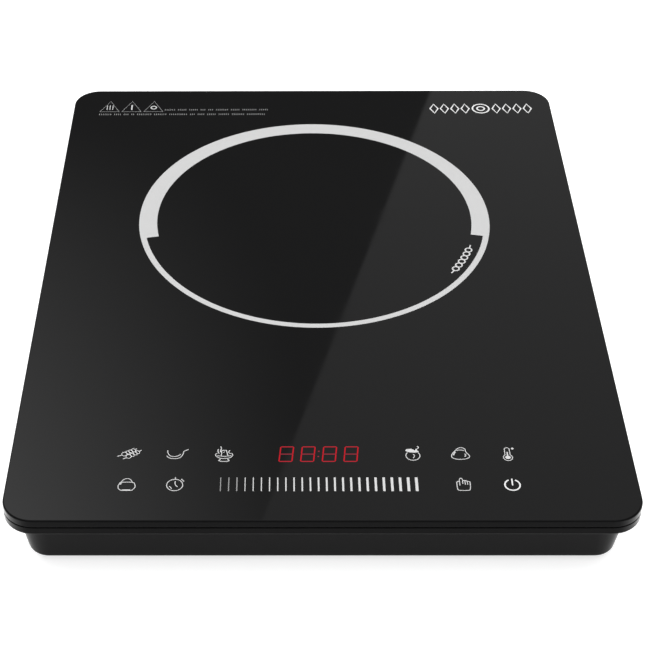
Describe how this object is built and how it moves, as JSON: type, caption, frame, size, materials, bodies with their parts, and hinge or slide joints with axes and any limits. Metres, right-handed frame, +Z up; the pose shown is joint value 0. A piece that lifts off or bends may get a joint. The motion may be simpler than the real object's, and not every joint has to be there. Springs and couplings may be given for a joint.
{
  "type": "electric induction cooktop",
  "caption": "Slim portable electric induction cooktop: rounded black glass plate over a thin frame and a tapered plastic housing on rubber feet, with coil, boards and spinning fan inside.",
  "frame": {"origin": "centre of the footprint, on the plane that the four feet stand on", "axes": "+X to the user's right, +Y to the back where the cord leaves, +Z up through the cooking surface; the controls are at -Y"},
  "size_m": [0.29, 0.37, 0.037],
  "materials": {
    "black_glass": "polished black glass-ceramic plate, opaque",
    "seal": "matte black silicone adhesive",
    "frame_plastic": "satin black moulded plastic",
    "housing_plastic": "fine satin black moulded plastic",
    "foot_rubber": "matte dark grey rubber",
    "zinc_screw": "zinc plated steel",
    "gland_nylon": "black nylon",
    "former_resin": "dark grey heat-resistant resin",
    "copper_litz": "enamelled copper strand, metallic",
    "ferrite": "pressed dark grey ferrite",
    "mica": "tan layered mica sheet",
    "fibre_pad": "off-white ceramic fibre paper",
    "silicone_cap": "pale grey silicone rubber",
    "glass_bead": "coated glass bead",
    "white_wire": "white silicone insulation",
    "brown_wire": "red-brown silicone insulation",
    "red_wire": "red insulation",
    "circuit_board": "green solder-masked laminate",
    "aluminium_fin": "satin extruded aluminium",
    "epoxy_black": "moulded black epoxy",
    "film_blue": "blue potted plastic box",
    "film_cream": "cream potted plastic box",
    "film_yellow": "yellow potted plastic box",
    "transformer_core": "dark ferrite core with yellow tape",
    "can_sleeve": "blue-black sleeve on an aluminium can",
    "fuse_ceramic": "white ceramic tube in plated clips",
    "varistor_blue": "blue lacquered disc",
    "terminal_brass": "tinned brass",
    "connector_white": "off-white nylon",
    "tray_plastic": "dark grey moulded plastic",
    "display_resin": "dark red display face",
    "sensor_foam": "conductive black foam",
    "flat_cable": "grey flat cable",
    "fan_plastic": "black glass-filled plastic",
    "motor_steel": "stacked motor steel",
    "bearing_bronze": "sintered bronze",
    "magnet": "bonded magnet ring"
  },
  "bodies": {
    "cooktop": {"glass_top": "black_glass", "glass_seal": "seal", "upper_frame": "frame_plastic", "lower_housing": "housing_plastic", "foot_front_left": "foot_rubber", "foot_front_right": "foot_rubber", "foot_rear_left": "foot_rubber", "foot_rear_right": "foot_rubber", "case_screws": "zinc_screw", "cord_gland": "gland_nylon", "cord_gland_nut": "gland_nylon", "coil_former": "former_resin", "induction_coil": "copper_litz", "ferrite_bar_1": "ferrite", "ferrite_bar_2": "ferrite", "ferrite_bar_3": "ferrite", "ferrite_bar_4": "ferrite", "ferrite_bar_5": "ferrite", "ferrite_bar_6": "ferrite", "mica_sheet": "mica", "insulation_pad": "fibre_pad", "sensor_cap": "silicone_cap", "coil_thermistor": "glass_bead", "sensor_leads": "white_wire", "coil_screws": "zinc_screw", "coil_lead_inner": "brown_wire", "coil_lead_outer": "brown_wire", "main_board": "circuit_board", "board_screws": "zinc_screw", "heat_sink": "aluminium_fin", "igbt": "epoxy_black", "bridge_rectifier": "epoxy_black", "resonant_capacitor": "film_blue", "smoothing_capacitor": "film_cream", "interference_capacitor": "film_yellow", "choke_core": "ferrite", "choke_winding": "copper_litz", "supply_transformer": "transformer_core", "electrolytic_capacitors": "can_sleeve", "fuse": "fuse_ceramic", "varistor": "varistor_blue", "buzzer": "epoxy_black", "screw_terminals": "terminal_brass", "board_connectors": "connector_white", "control_board": "circuit_board", "control_tray": "tray_plastic", "tray_screws": "zinc_screw", "display_module": "display_resin", "touch_pads": "sensor_foam", "touch_controller": "epoxy_black", "ribbon_cable": "flat_cable", "fan_frame": "fan_plastic", "fan_stator": "motor_steel", "fan_bearing": "bearing_bronze", "fan_screws": "zinc_screw", "fan_leads": "red_wire"},
    "fan_rotor": {"fan_impeller": "fan_plastic", "fan_magnet": "magnet", "fan_shaft": "motor_steel"}
  },
  "joints": [
    {"name": "fan_spin", "type": "hinge", "parent": "cooktop", "child": "fan_rotor", "pos_m": [-0.088, -0.09, 0.015], "axis": [0, 0, 1], "continuous": true}
  ]
}
